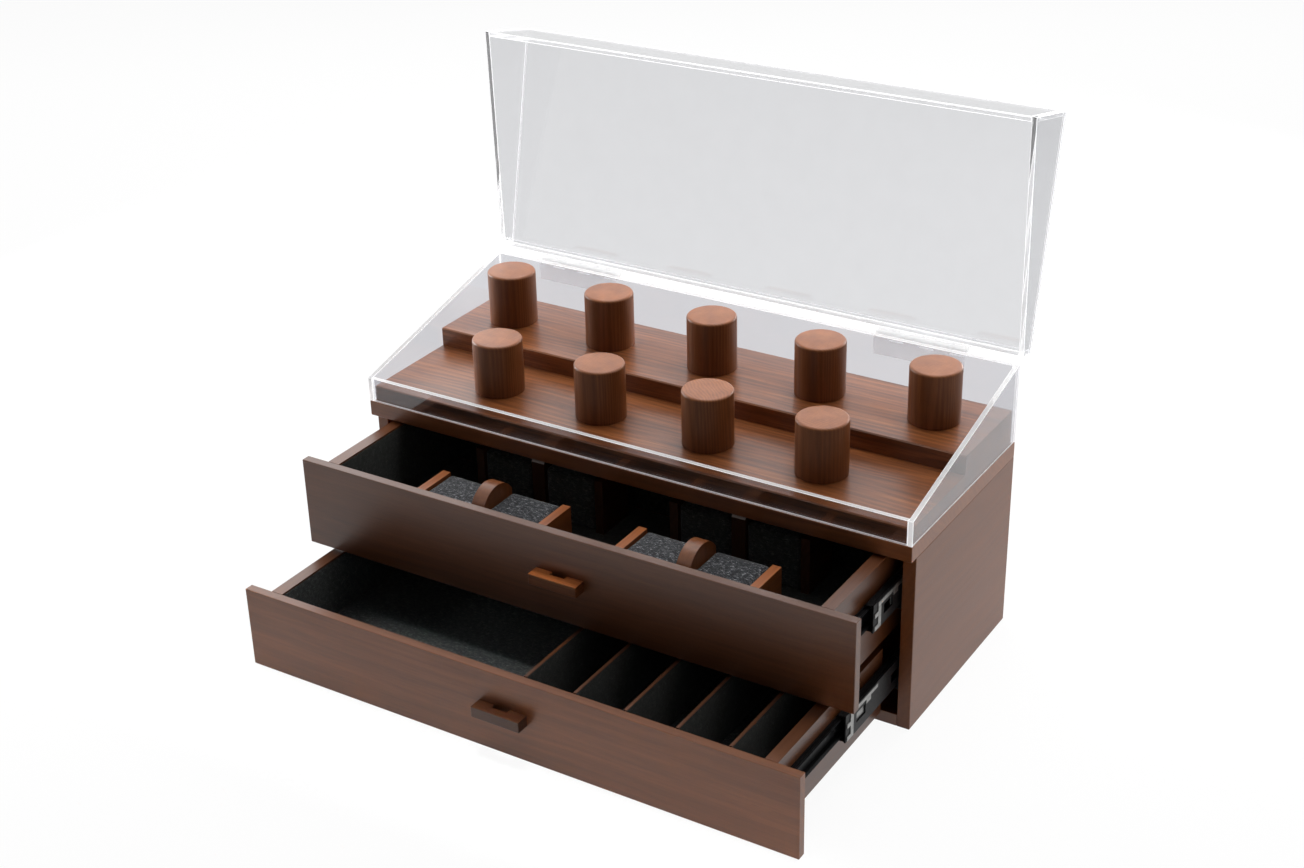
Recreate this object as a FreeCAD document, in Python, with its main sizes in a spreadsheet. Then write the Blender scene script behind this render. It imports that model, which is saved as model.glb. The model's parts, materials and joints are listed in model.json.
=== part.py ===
"""Watch display case: a wooden cabinet with two drawers on ball-bearing slides, two stepped
tiers of watch pegs, and a clear sloping cover whose lid swings back on two knuckled hinges.

Frame: X to the right, Y to the back, Z up, with the origin in the middle of the underside.
The drawers and the lid are drawn closed and then placed open, as the case is shown.
"""
import FreeCAD, Part
import Sketcher
import math
import os
import re

doc = FreeCAD.newDocument("watch_display_case")
sizes = doc.addObject("Spreadsheet::Sheet", "Sizes")

# Driving dimensions in millimetres and degrees
DRIVING = {
    "cabinet_width": (600, "over the side panels"),
    "cabinet_depth": (220, "side panel depth, front edge to rear edge"),
    "cabinet_height": (198.5, "underside to the top of the top board"),
    "panel_thickness": (12.7, "side and bottom panels"),
    "top_thickness": (16, "top board"),
    "top_overhang": (10, "top board in front of the side panels"),
    "back_thickness": (6, "back panel"),
    "eased_edge": (0.5, "small chamfer on sawn edges"),
    "tier_clearance": (1, "tiers inside the clear walls"),
    "lower_tier_thickness": (16, "front step"),
    "upper_tier_thickness": (19.5, "rear step"),
    "upper_tier_depth": (107, "rear step, front to back"),
    "tier_chamfer": (1.2, "front top edge of each tier"),
    "peg_radius": (25, "watch peg"),
    "peg_height": (56, "watch peg above its tier"),
    "peg_rounding": (3, "top edge of a peg"),
    "peg_facets": (3, "flats that round the top edge"),
    "peg_end_margin": (53.5, "outermost rear peg axis to the end of its tier"),
    "rear_peg_setback": (52, "rear peg axes to the back of the tiers"),
    "front_peg_setback": (54, "front peg axes to the front of the lower tier"),
    "rear_peg_count": (5, "pegs on the rear step"),
    "front_peg_count": (4, "pegs on the front step"),
    "acrylic": (5, "clear sheet thickness"),
    "cover_front_height": (25.5, "fixed cover at the front"),
    "cover_back_height": (81.5, "fixed cover at the back"),
    "lid_rise": (21, "closed lid above the fixed cover, at the back"),
    "lid_seam": (0.4, "between the closed lid and the fixed cover"),
    "lid_open": (102, "lid angle as shown, in degrees"),
    "hinge_length": (95, "one hinge"),
    "hinge_margin": (56, "end of the case to the outer end of a hinge"),
    "hinge_offset": (5.5, "hinge axis behind the cover's back face"),
    "hinge_drop": (1, "hinge axis below the cover's back edge"),
    "leaf_height": (20, "hinge axis to the far edge of a leaf"),
    "leaf_thickness": (2.5, "hinge leaf"),
    "knuckle_radius": (4.3, "hinge barrel"),
    "knuckle_count": (6, "knuckles in one hinge, shared by its two leaves"),
    "knuckle_gap": (0.3, "between two knuckles"),
    "stop_reach": (8.5, "stop lug behind the hinge axis"),
    "stop_gap": (0.15, "between the stop lug and the open lid's leaf"),
    "stop_root": (3, "where the stop lug leaves the barrel, from the hinge axis"),
    "stop_start": (4.7, "where the stop lug's face starts, from the hinge axis"),
    "pin_radius": (1.5, "hinge pin"),
    "pin_clearance": (0.05, "round the hinge pin"),
    "front_thickness": (9.5, "drawer front"),
    "closed_gap": (0.5, "closed drawer front to the side panels"),
    "bottom_gap": (1, "below the lower drawer front"),
    "middle_gap": (3, "between the drawer fronts"),
    "top_gap": (2, "above the upper drawer front"),
    "lower_front_height": (84.5, "lower drawer front"),
    "upper_box_rise": (5.5, "upper drawer sides above the front's lower edge"),
    "lower_box_rise": (3.8, "lower drawer sides above the bottom panel"),
    "box_wall": (12.5, "drawer sides and back"),
    "box_depth": (198, "drawer sides behind the front"),
    "floor_thickness": (5, "drawer floor"),
    "floor_rise": (3.5, "drawer floor above the lower edge of the sides"),
    "floor_groove": (4, "depth of the grooves that hold the drawer floor"),
    "felt_wall": (1, "felt on the drawer walls"),
    "felt_floor": (1.5, "felt on the drawer floor"),
    "felt_drop": (2, "top of the wall felt below the top of the drawer"),
    "upper_open": (107.6, "upper drawer pulled out, as shown"),
    "lower_open": (205.7, "lower drawer pulled out, as shown"),
    "handle_width": (52, "drawer handle"),
    "handle_depth": (13.5, "drawer handle"),
    "handle_height": (11, "drawer handle"),
    "handle_rise": (45.3, "middle of the handle above the front's lower edge"),
    "handle_chamfer": (0.4, "handle edges"),
    "notch_width": (16, "finger notch behind the handle"),
    "notch_depth": (5, "finger notch behind the handle"),
    "divider_count": (5, "dividers in the lower drawer"),
    "divider_thickness": (3, "divider"),
    "divider_pitch": (52.4, "divider to divider"),
    "divider_margin": (33, "last divider's middle to the inside of the right wall"),
    "rest_width": (150, "eyewear rest"),
    "rest_depth": (46, "eyewear rest"),
    "rest_height": (58, "eyewear rest above the felt"),
    "rest_spread": (113, "middle of a rest from the middle of the drawer"),
    "rest_setback": (21.6, "front rests behind the drawer front"),
    "rest_pitch": (100.5, "front rests to rear rests"),
    "cheek_thickness": (9, "end cheek of a rest"),
    "bridge_thickness": (14.6, "nose bridge plate of a rest"),
    "bridge_rise": (16, "top of the nose bridge above the rest"),
    "bridge_radius": (26, "rounded top of the nose bridge"),
    "pad_gap": (0.2, "felt pad to the wood beside it"),
    "pad_rounding": (1.5, "rounded top edge of a felt pad"),
    "slide_length": (200, "each slide member"),
    "slide_height": (35, "cabinet member of a slide"),
    "slide_thickness": (12.7, "slide, from drawer side to cabinet side"),
    "slide_inset": (1, "slides behind the front edges of the side panels"),
    "slide_sheet": (1.2, "steel of the slide members"),
    "cage_sheet": (0.6, "steel of the ball cages"),
    "cage_length": (72, "ball cage"),
    "cage_rim": (1.3, "middle of a ball row to the rim of its cage"),
    "upper_slide_drop": (37, "slide's middle below the top of the upper drawer"),
    "lower_slide_drop": (28, "slide's middle below the top of the lower drawer"),
    "ball_radius": (1.6, "slide ball"),
    "race_clearance": (0.05, "round a ball"),
    "balls_per_row": (2, "balls in each row of a cage"),
    "ball_sides": (8, "sides of a ball's rings"),
    "pocket_margin": (5, "end of a cage to its first ball"),
    "outer_race": (5.2, "outer ball row from the cabinet side"),
    "inner_race": (9, "inner ball row from the cabinet side"),
    "inner_race_height": (10.5, "inner ball rows from the middle of the slide"),
    "slide_play": (0.2, "between the nested webs of a slide"),
    "window_start": (21, "front end of a middle member to its first window"),
    "window_length": (18, "window in the web of a middle member"),
    "window_height": (10, "window in the web of a middle member"),
    "window_pitch": (70, "window to window"),
    "window_count": (3, "windows in the web of a middle member"),
    "catch_sheet": (0.7, "steel of the catch on a middle member"),
    "catch_setback": (2, "front end of a middle member to its catch"),
    "catch_length": (60, "catch, along the slide"),
    "catch_height": (26, "catch"),
    "catch_strip": (3.8, "strip along the top of a catch"),
    "catch_hook": (6.5, "hook and foot in front of the catch's arm"),
    "catch_arm": (5.5, "upright arm of a catch"),
    "catch_tooth": (4.5, "height of the catch's hook, foot and tab"),
    "catch_tab": (9, "tab that hangs from the catch's strip, along the slide"),
    "catch_tab_start": (25, "catch's arm to its tab"),
}

# Sizes that follow from the driving ones
DERIVED = {
    "half_width": "cabinet_width / 2",
    "bay_half": "half_width - panel_thickness",
    "front_edge": "-cabinet_depth / 2",
    "rear_edge": "cabinet_depth / 2",
    "cover_front": "front_edge - top_overhang",
    "top_underside": "cabinet_height - top_thickness",
    "cover_half": "half_width - acrylic",
    "tier_half": "cover_half - tier_clearance",
    "tier_front": "cover_front + acrylic + tier_clearance",
    "tier_rear": "rear_edge - acrylic - tier_clearance",
    "upper_tier_front": "tier_rear - upper_tier_depth",
    "lower_tier_top": "cabinet_height + lower_tier_thickness",
    "upper_tier_top": "lower_tier_top + upper_tier_thickness",
    "peg_pitch": "2 * (tier_half - peg_end_margin) / (rear_peg_count - 1)",
    "rear_peg_row": "tier_rear - rear_peg_setback",
    "front_peg_row": "tier_front + front_peg_setback",
    "cover_front_top": "cabinet_height + cover_front_height",
    "cover_back_top": "cabinet_height + cover_back_height",
    "hinge_y": "rear_edge + hinge_offset",
    "hinge_z": "cover_back_top - hinge_drop",
    "lid_front": "cover_front - hinge_y",
    "lid_rear": "rear_edge - hinge_y",
    "lid_front_seam": "cover_front_top + lid_seam - hinge_z",
    "lid_back_seam": "cover_back_top + lid_seam - hinge_z",
    "lid_top": "cover_back_top + lid_rise - hinge_z",
    "lid_under": "lid_top - acrylic",
    "box_half": "bay_half - slide_thickness",
    "box_inside": "box_half - box_wall",
    "box_front": "front_edge - closed_gap",
    "box_rear": "box_front + box_depth",
    "upper_front_bottom": "bottom_gap + lower_front_height + middle_gap",
    "upper_top": "top_underside - top_gap",
    "lower_front_bottom": "bottom_gap",
    "lower_top": "bottom_gap + lower_front_height",
    "upper_box_bottom": "upper_front_bottom + upper_box_rise",
    "lower_box_bottom": "panel_thickness + lower_box_rise",
    "slide_front": "front_edge + slide_inset",
    "slide_rear": "slide_front + slide_length",
    "middle_web": "slide_sheet + cage_sheet + 2 * slide_play",
    "rest_bottom": "upper_box_bottom + floor_rise + floor_thickness + felt_floor",
}

NAMES = set(DRIVING) | set(DERIVED)


def fill_sheet():
    """Write the driving numbers and the sizes that follow from them into the sheet."""
    row = 0
    for alias, (number, note) in DRIVING.items():
        row += 1
        sizes.set(f"A{row}", note)
        sizes.set(f"B{row}", str(number))
        sizes.setAlias(f"B{row}", alias)
    for alias, formula in DERIVED.items():
        row += 1
        sizes.set(f"A{row}", alias.replace("_", " "))
        sizes.set(f"B{row}", "=" + formula)
        sizes.setAlias(f"B{row}", alias)
    doc.recompute()


def bound(expression):
    """The expression with every size name pointing into the sheet."""
    return re.sub(
        r"[a-z][a-z_]*",
        lambda match: "Sizes." + match.group() if match.group() in NAMES else match.group(),
        str(expression),
    )


def value(expression):
    """The number that an expression of size names gives now."""
    return float(sizes.evalExpression(bound(expression)))


fill_sheet()

parts = []
SIDES = {"left": -1, "right": 1}
ON_EDGE = 1e-4  # how far an edge may lie from the place it is looked for


# Helpers for bodies with sketched features

def new_body(label, shift=("0", "0", "0")):
    """A body whose placement follows the sheet."""
    body = doc.addObject("PartDesign::Body", label)
    body.Label = label
    body.AllowCompound = True
    for axis, expression in zip("xyz", shift):
        body.setExpression(f"Placement.Base.{axis}", bound(expression))
    parts.append(body)
    return body


def new_sketch(body, plane, offset="0"):
    """A sketch on one of the body's own origin planes, moved along its normal."""
    sketch = body.newObject("Sketcher::SketchObject", body.Label + "_sketch")
    support = [item for item in body.Origin.OriginFeatures if item.Role == plane + "_Plane"]
    sketch.AttachmentSupport = (support[0], "")
    sketch.MapMode = "FlatFace"
    sketch.setExpression("AttachmentOffset.Base.z", bound(offset))
    return sketch


def bind_point(sketch, index, point):
    """Tie the start of one sketch line to a pair of expressions."""
    for kind, expression in zip(("DistanceX", "DistanceY"), point):
        number = value(expression)
        place = sketch.addConstraint(Sketcher.Constraint(kind, -1, 1, index, 1, number))
        sketch.setExpression(f"Constraints[{place}]", bound(expression))


def outward_arc(start, end, radius):
    """Arc from start to end that swells to the outside of a counterclockwise outline."""
    chord = end - start
    inward = FreeCAD.Vector(-chord.y, chord.x, 0).normalize()
    centre = (start + end) / 2 + inward * math.sqrt(radius**2 - (chord.Length / 2) ** 2)
    first, last = [math.atan2(point.y - centre.y, point.x - centre.x) for point in (start, end)]
    return Part.ArcOfCircle(Part.Circle(centre, FreeCAD.Vector(0, 0, 1), radius), first, last)


def draw_outline(sketch, corners, arcs=None):
    """A closed outline through corners given as pairs of expressions.

    The side that follows a corner is straight, or an arc where arcs gives it a radius.
    """
    arcs = arcs or {}
    points = [FreeCAD.Vector(value(across), value(along), 0) for across, along in corners]
    first = sketch.GeometryCount
    count = len(corners)
    for step, (start, end) in enumerate(zip(points, points[1:] + points[:1])):
        if step in arcs:
            sketch.addGeometry(outward_arc(start, end, value(arcs[step])))
        else:
            sketch.addGeometry(Part.LineSegment(start, end))
    for step in range(count):
        after = first + (step + 1) % count
        sketch.addConstraint(Sketcher.Constraint("Coincident", first + step, 2, after, 1))
    for step, corner in enumerate(corners):
        bind_point(sketch, first + step, corner)
    for step, radius in arcs.items():
        place = sketch.addConstraint(Sketcher.Constraint("Radius", first + step, value(radius)))
        sketch.setExpression(f"Constraints[{place}]", bound(radius))


def rectangle(first, second):
    """Corners of the rectangle between two spans of expressions."""
    return [(first[0], second[0]), (first[1], second[0]), (first[1], second[1]), (first[0], second[1])]


def pad(body, plane, corners, span, arcs=None):
    """Solid from an outline, between the two ends of span along the plane's axis."""
    start, end = span
    sketch = new_sketch(body, plane, f"-({end})" if plane == "XZ" else start)
    draw_outline(sketch, corners, arcs)
    feature = body.newObject("PartDesign::Pad", body.Label + "_pad")
    feature.Profile = sketch
    feature.setExpression("Length", bound(f"({end}) - ({start})"))
    return feature


def pocket(body, plane, draw, span):
    """Cut between the two ends of span, with draw(sketch) giving the outline."""
    start, end = span
    sketch = new_sketch(body, plane, f"-({start})" if plane == "XZ" else end)
    draw(sketch)
    doc.recompute()
    before = body.Shape.Volume
    feature = body.newObject("PartDesign::Pocket", body.Label + "_pocket")
    feature.Profile = sketch
    feature.setExpression("Length", bound(f"({end}) - ({start})"))
    doc.recompute()
    if feature.Shape.Volume >= before:
        raise ValueError(f"a pocket in {body.Label} cuts nothing")
    return feature


def ease(body, feature, size="eased_edge"):
    """Chamfer every edge of a plain board."""
    doc.recompute()
    chamfer = body.newObject("PartDesign::Chamfer", body.Label + "_eased")
    chamfer.Base = (feature, [f"Edge{index + 1}" for index in range(len(feature.Shape.Edges))])
    chamfer.setExpression("Size", bound(size))
    return chamfer


def edge_names(shape, test):
    """Names of the edges whose box passes the test."""
    return [
        f"Edge{index + 1}"
        for index, edge in enumerate(shape.Edges)
        if test(edge.BoundBox)
    ]


def dress_edges(body, feature, kind, size, test):
    """Chamfer or fillet the edges of a feature that pass the test."""
    doc.recompute()
    dressing = body.newObject("PartDesign::" + kind, body.Label + "_" + kind.lower())
    dressing.Base = (feature, edge_names(feature.Shape, test))
    dressing.setExpression("Radius" if kind == "Fillet" else "Size", bound(size))
    return dressing


def row_pattern(body, features, sketch, axis, length, count):
    """Repeat features along a sketch axis."""
    pattern = body.newObject("PartDesign::LinearPattern", body.Label + "_row")
    pattern.Originals = features
    pattern.Direction = (sketch, [axis])
    pattern.setExpression("Length", bound(length))
    pattern.setExpression("Occurrences", bound(count))
    body.Tip = pattern
    return pattern


def board(label, x, y, z, shift=("0", "0", "0"), eased=True):
    """A rectangular board between three spans of expressions."""
    body = new_body(label, shift)
    feature = pad(body, "XY", rectangle(x, y), z)
    if eased:
        ease(body, feature)
    return body


def sorted_span(side, near, far):
    """A span of X on one side of the middle, from its low end to its high end."""
    return (near, far) if side > 0 else (f"-({far})", f"-({near})")


# Helpers for pieces that are shaped directly

def add_piece(label, solids, placement=None):
    """A piece made of finished solids."""
    piece = doc.addObject("Part::Feature", label)
    piece.Label = label
    piece.Shape = solids[0] if len(solids) == 1 else Part.makeCompound(solids)
    piece.Placement = placement or FreeCAD.Placement()
    parts.append(piece)
    return piece


def moved_back(distance):
    """Placement of a piece that slides along Y."""
    return FreeCAD.Placement(FreeCAD.Vector(0, distance, 0), FreeCAD.Rotation())


def polar(centre, radius, degrees):
    """Point of a circle in the plane of a slide's section."""
    angle = math.radians(degrees)
    return (centre[0] + radius * math.cos(angle), centre[1] + radius * math.sin(angle))


def section_face(steps, lift):
    """Face from steps, each a point or an arc (centre, radius, from, to); lift maps to space."""
    edges = []
    ends = []
    for step in steps:
        if len(step) == 2:
            ends.append((step, step, None))
            continue
        centre, radius, start, end = step
        middle = polar(centre, radius, (start + end) / 2)
        ends.append((polar(centre, radius, start), polar(centre, radius, end), middle))
    for (start, end, middle), following in zip(ends, ends[1:] + ends[:1]):
        if middle is not None:
            edges.append(Part.Arc(lift(*start), lift(*middle), lift(*end)).toShape())
        if math.dist(end, following[0]) > ON_EDGE:
            edges.append(Part.makeLine(lift(*end), lift(*following[0])))
    return Part.Face(Part.Wire(edges))


def both_halves(steps):
    """The steps of a section's upper half, followed by their mirror image in reverse."""
    lower = []
    for step in reversed(steps):
        if len(step) == 2:
            lower.append((step[0], -step[1]))
        else:
            centre, radius, start, end = step
            lower.append(((centre[0], -centre[1]), radius, -end, -start))
    return steps + lower


# Cabinet

def make_cabinet():
    board(
        "top_board",
        ("-half_width", "half_width"),
        ("cover_front", "rear_edge"),
        ("top_underside", "cabinet_height"),
    )
    board(
        "bottom_panel",
        ("-bay_half", "bay_half"),
        ("front_edge", "rear_edge - back_thickness"),
        ("0", "panel_thickness"),
    )
    board(
        "back_panel",
        ("-bay_half", "bay_half"),
        ("rear_edge - back_thickness", "rear_edge"),
        ("0", "top_underside"),
    )
    for name, side in SIDES.items():
        board(
            name + "_side_panel",
            sorted_span(side, "bay_half", "half_width"),
            ("front_edge", "rear_edge"),
            ("0", "top_underside"),
        )


def slide_height_of(drawer):
    """Height of the middle of a drawer's slides."""
    return f"({drawer}_top - {drawer}_slide_drop)"


def make_tiers():
    lower = new_body("lower_tier")
    block = pad(
        lower,
        "XY",
        rectangle(("-tier_half", "tier_half"), ("tier_front", "tier_rear")),
        ("cabinet_height", "lower_tier_top"),
    )
    chamfer_front(lower, block, "tier_front", "lower_tier_top")
    upper = new_body("upper_tier")
    block = pad(
        upper,
        "XY",
        rectangle(("-tier_half", "tier_half"), ("upper_tier_front", "tier_rear")),
        ("lower_tier_top", "upper_tier_top"),
    )
    chamfer_front(upper, block, "upper_tier_front", "upper_tier_top")


def chamfer_front(body, feature, front, top):
    """Chamfer along the front top edge of a tier."""
    edge_y = value(front)
    edge_z = value(top)
    dress_edges(
        body,
        feature,
        "Chamfer",
        "tier_chamfer",
        lambda box: abs(box.YMax - edge_y) < ON_EDGE and abs(box.ZMin - edge_z) < ON_EDGE,
    )


def make_pegs(row, top):
    """A row of pegs, each turned with a rounded top edge."""
    start = f"-({row}_peg_count - 1) / 2 * peg_pitch"
    body = new_body(row + "_pegs", (start, f"{row}_peg_row", top))
    sketch = new_sketch(body, "XZ")
    facets = int(value("peg_facets"))
    rounding = [
        (
            f"peg_radius - peg_rounding * (1 - cos({step} * 90 deg / peg_facets))",
            f"peg_height - peg_rounding * (1 - sin({step} * 90 deg / peg_facets))",
        )
        for step in range(facets + 1)
    ]
    draw_outline(sketch, [("0", "0"), ("peg_radius", "0")] + rounding + [("0", "peg_height")])
    turned = body.newObject("PartDesign::Revolution", body.Label + "_turned")
    turned.Profile = sketch
    turned.ReferenceAxis = (sketch, ["V_Axis"])
    turned.Angle = 360
    length = f"({row}_peg_count - 1) * peg_pitch"
    row_pattern(body, [turned], sketch, "H_Axis", length, f"{row}_peg_count")


# Clear cover and lid

def make_cover():
    for name, side in SIDES.items():
        wall = new_body(f"cover_{name}_wall")
        outline = [
            ("cover_front", "cabinet_height"),
            ("rear_edge", "cabinet_height"),
            ("rear_edge", "cover_back_top"),
            ("cover_front", "cover_front_top"),
        ]
        pad(wall, "YZ", outline, sorted_span(side, "cover_half", "half_width"))
    board(
        "cover_front_wall",
        ("-cover_half", "cover_half"),
        ("cover_front", "cover_front + acrylic"),
        ("cabinet_height", "cover_front_top"),
        eased=False,
    )
    board(
        "cover_back_wall",
        ("-cover_half", "cover_half"),
        ("rear_edge - acrylic", "rear_edge"),
        ("cabinet_height", "cover_back_top"),
        eased=False,
    )


LID_SHIFT = ("0", "hinge_y", "hinge_z")


def lid_placement():
    """Turns a piece drawn closed, with the hinge axis as its origin, to the open lid."""
    base = FreeCAD.Vector(0, value("hinge_y"), value("hinge_z"))
    turn = FreeCAD.Rotation(FreeCAD.Vector(-1, 0, 0), value("lid_open"))
    return FreeCAD.Placement(base, turn)


def make_lid():
    for name, side in SIDES.items():
        wall = new_body(f"lid_{name}_wall", LID_SHIFT)
        outline = [
            ("lid_front", "lid_front_seam"),
            ("lid_rear", "lid_back_seam"),
            ("lid_rear", "lid_under"),
            ("lid_front", "lid_under"),
        ]
        pad(wall, "YZ", outline, sorted_span(side, "cover_half", "half_width"))
        wall.Placement = lid_placement()
    spans = {
        "lid_panel": (
            ("-half_width", "half_width"),
            ("lid_front", "lid_rear"),
            ("lid_under", "lid_top"),
        ),
        "lid_front_wall": (
            ("-cover_half", "cover_half"),
            ("lid_front", "lid_front + acrylic"),
            ("lid_front_seam", "lid_under"),
        ),
        "lid_back_strip": (
            ("-cover_half", "cover_half"),
            ("lid_rear - acrylic", "lid_rear"),
            ("lid_back_seam", "lid_under"),
        ),
    }
    for label, (x, y, z) in spans.items():
        sheet = board(label, x, y, z, LID_SHIFT, eased=False)
        sheet.Placement = lid_placement()


# Hinges: the axis is at the origin of each section, with the cover's back face in front of it

def knuckle_spans(first):
    """Spans along the hinge of every second knuckle, starting at first."""
    count = int(value("knuckle_count"))
    pitch = value("hinge_length") / count
    gap = value("knuckle_gap")
    return [
        (index * pitch + gap / 2, (index + 1) * pitch - gap / 2)
        for index in range(first, count, 2)
    ]


def prism_x(points, start, end):
    """Solid between two places along X over a straight-sided section in Y and Z."""
    corners = [FreeCAD.Vector(start, y, z) for y, z in points]
    face = Part.Face(Part.makePolygon(corners + corners[:1]))
    return face.extrude(FreeCAD.Vector(end - start, 0, 0))


def rod_x(radius, start, end):
    """Round bar along the hinge axis."""
    return Part.makeCylinder(
        radius, end - start, FreeCAD.Vector(start, 0, 0), FreeCAD.Vector(1, 0, 0)
    )


def stop_lug_section():
    """Section of the lug that the open lid's leaf comes down on."""
    angle = math.radians(value("lid_open"))
    leaf_face = value("leaf_thickness - hinge_offset")
    reach = value("stop_reach")
    root = value("stop_root")
    start = value("stop_start")

    def top_of_lug(y):
        along = (y - leaf_face * math.cos(angle)) / math.sin(angle)
        return -leaf_face * math.sin(angle) + along * math.cos(angle) - value("stop_gap")

    return [
        (root, -root),
        (reach, top_of_lug(reach) - value("leaf_thickness")),
        (reach, top_of_lug(reach)),
        (start, top_of_lug(start)),
        (root, 0),
    ]


def make_leaf(sign, first):
    """One leaf: a plate on the clear sheet, running into knuckles bored for the pin."""
    length = value("hinge_length")
    face = -value("hinge_offset")
    thickness = value("leaf_thickness")
    barrel = value("knuckle_radius")
    plate_start = sign * (barrel + value("knuckle_gap"))
    plate = [
        (face, plate_start),
        (face + thickness, plate_start),
        (face + thickness, sign * value("leaf_height")),
        (face, sign * value("leaf_height")),
    ]
    solid = prism_x(plate, 0, length)
    for start, end in knuckle_spans(first):
        web = [(face, 0), (0, 0), (0, sign * barrel), (face + thickness, sign * barrel)]
        web += [(face + thickness, plate_start), (face, plate_start)]
        solid = solid.fuse([prism_x(web, start, end), rod_x(barrel, start, end)])
        if first == 0:
            solid = solid.fuse(prism_x(stop_lug_section(), start, end))
    bore = value("pin_radius + pin_clearance")
    return solid.cut(rod_x(bore, -1, length + 1)).removeSplitter()


def make_hinges():
    axis = FreeCAD.Vector(0, value("hinge_y"), value("hinge_z"))
    length = value("hinge_length")
    pins = []
    for name, side in SIDES.items():
        outer = side * value("half_width - hinge_margin")
        start = min(outer, outer - side * length)
        along = FreeCAD.Vector(start, 0, 0)
        fixed = FreeCAD.Placement(axis + along, FreeCAD.Rotation())
        add_piece(name + "_hinge_fixed_leaf", [make_leaf(-1, 0)], fixed)
        turned = lid_placement().multiply(FreeCAD.Placement(along, FreeCAD.Rotation()))
        add_piece(name + "_hinge_lid_leaf", [make_leaf(1, 1)], turned)
        pin = rod_x(value("pin_radius"), 0, length)
        pin.Placement = FreeCAD.Placement(along, FreeCAD.Rotation())
        pins.append(pin)
    add_piece("hinge_pins", pins, FreeCAD.Placement(axis, FreeCAD.Rotation()))


# Drawers

def make_drawer_box(drawer):
    """Front, sides, back, floor, felt and handle of a drawer, drawn closed and then moved."""
    shift = ("0", f"-{drawer}_open", "0")
    bottom = f"{drawer}_box_bottom"
    top = f"{drawer}_top"
    floor_bottom = f"({bottom} + floor_rise)"
    floor_top = f"({floor_bottom} + floor_thickness)"
    board(
        f"{drawer}_drawer_front",
        ("-half_width", "half_width"),
        ("box_front - front_thickness", "box_front"),
        (f"{drawer}_front_bottom", top),
        shift,
    )
    for name, side in SIDES.items():
        wall = new_body(f"{drawer}_drawer_{name}_side", shift)
        inside = f"{side} * box_inside"
        groove = f"{side} * (box_inside + floor_groove)"
        outside = f"{side} * box_half"
        outline = [
            (inside, bottom),
            (outside, bottom),
            (outside, top),
            (inside, top),
            (inside, floor_top),
            (groove, floor_top),
            (groove, floor_bottom),
            (inside, floor_bottom),
        ]
        pad(wall, "XZ", outline, ("box_front", "box_rear"))
    board(
        f"{drawer}_drawer_back",
        ("-box_inside", "box_inside"),
        ("box_rear - box_wall", "box_rear"),
        (floor_top, top),
        shift,
    )
    board(
        f"{drawer}_drawer_floor",
        ("-box_inside - floor_groove", "box_inside + floor_groove"),
        ("box_front", "box_rear"),
        (floor_bottom, floor_top),
        shift,
        eased=False,
    )
    make_lining(drawer, shift, floor_top, top)
    make_handle(drawer, shift)


def handle_height_of(drawer):
    """Height of the middle of a drawer's handle."""
    return f"({drawer}_front_bottom + handle_rise)"


def make_lining(drawer, shift, floor_top, top):
    """Felt tray inside the drawer."""
    lining = new_body(f"{drawer}_drawer_lining", shift)
    rear = "box_rear - box_wall"
    outer = rectangle(("-box_inside", "box_inside"), ("box_front", rear))
    felt_top = f"{top} - felt_drop"
    pad(lining, "XY", outer, (floor_top, felt_top))
    inner = rectangle(
        ("-box_inside + felt_wall", "box_inside - felt_wall"),
        ("box_front + felt_wall", rear + " - felt_wall"),
    )
    pocket(
        lining,
        "XY",
        lambda sketch: draw_outline(sketch, inner),
        (f"{floor_top} + felt_floor", felt_top),
    )


def make_handle(drawer, shift):
    """Block handle with a finger notch cut in behind it."""
    body = new_body(f"{drawer}_drawer_handle", shift)
    face = "box_front - front_thickness"
    middle = handle_height_of(drawer)
    outline = [
        ("-handle_width / 2", face),
        ("-notch_width / 2", face),
        ("-notch_width / 2", face + " - notch_depth"),
        ("notch_width / 2", face + " - notch_depth"),
        ("notch_width / 2", face),
        ("handle_width / 2", face),
        ("handle_width / 2", face + " - handle_depth"),
        ("-handle_width / 2", face + " - handle_depth"),
    ]
    span = (f"{middle} - handle_height / 2", f"{middle} + handle_height / 2")
    block = pad(body, "XY", outline, span)
    outer = value(face + " - handle_depth")
    dress_edges(
        body, block, "Chamfer", "handle_chamfer", lambda box: abs(box.YMax - outer) < ON_EDGE
    )


def make_dividers():
    """Dividers of the lower drawer, standing on the felt between the felted walls."""
    bottom = "lower_box_bottom + floor_rise + floor_thickness + felt_floor"
    body = new_body("lower_drawer_dividers", ("0", "-lower_open", "0"))
    last = "(box_inside - divider_margin)"
    first = f"({last} - (divider_count - 1) * divider_pitch)"
    sketch = new_sketch(body, "XY", bottom)
    draw_outline(
        sketch,
        rectangle(
            (f"{first} - divider_thickness / 2", f"{first} + divider_thickness / 2"),
            ("box_front + felt_wall", "box_rear - box_wall - felt_wall"),
        ),
    )
    plate = body.newObject("PartDesign::Pad", "divider_pad")
    plate.Profile = sketch
    plate.setExpression("Length", bound(f"lower_top - ({bottom})"))
    length = "(divider_count - 1) * divider_pitch"
    row_pattern(body, [plate], sketch, "H_Axis", length, "divider_count")


def rest_origins():
    """Front left corner of each rest, in expressions of X and Y."""
    return [
        (f"({side} * rest_spread - rest_width / 2)", f"(box_front + rest_setback + {row} * rest_pitch)")
        for row in (0, 1)
        for side in (-1, 1)
    ]


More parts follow.
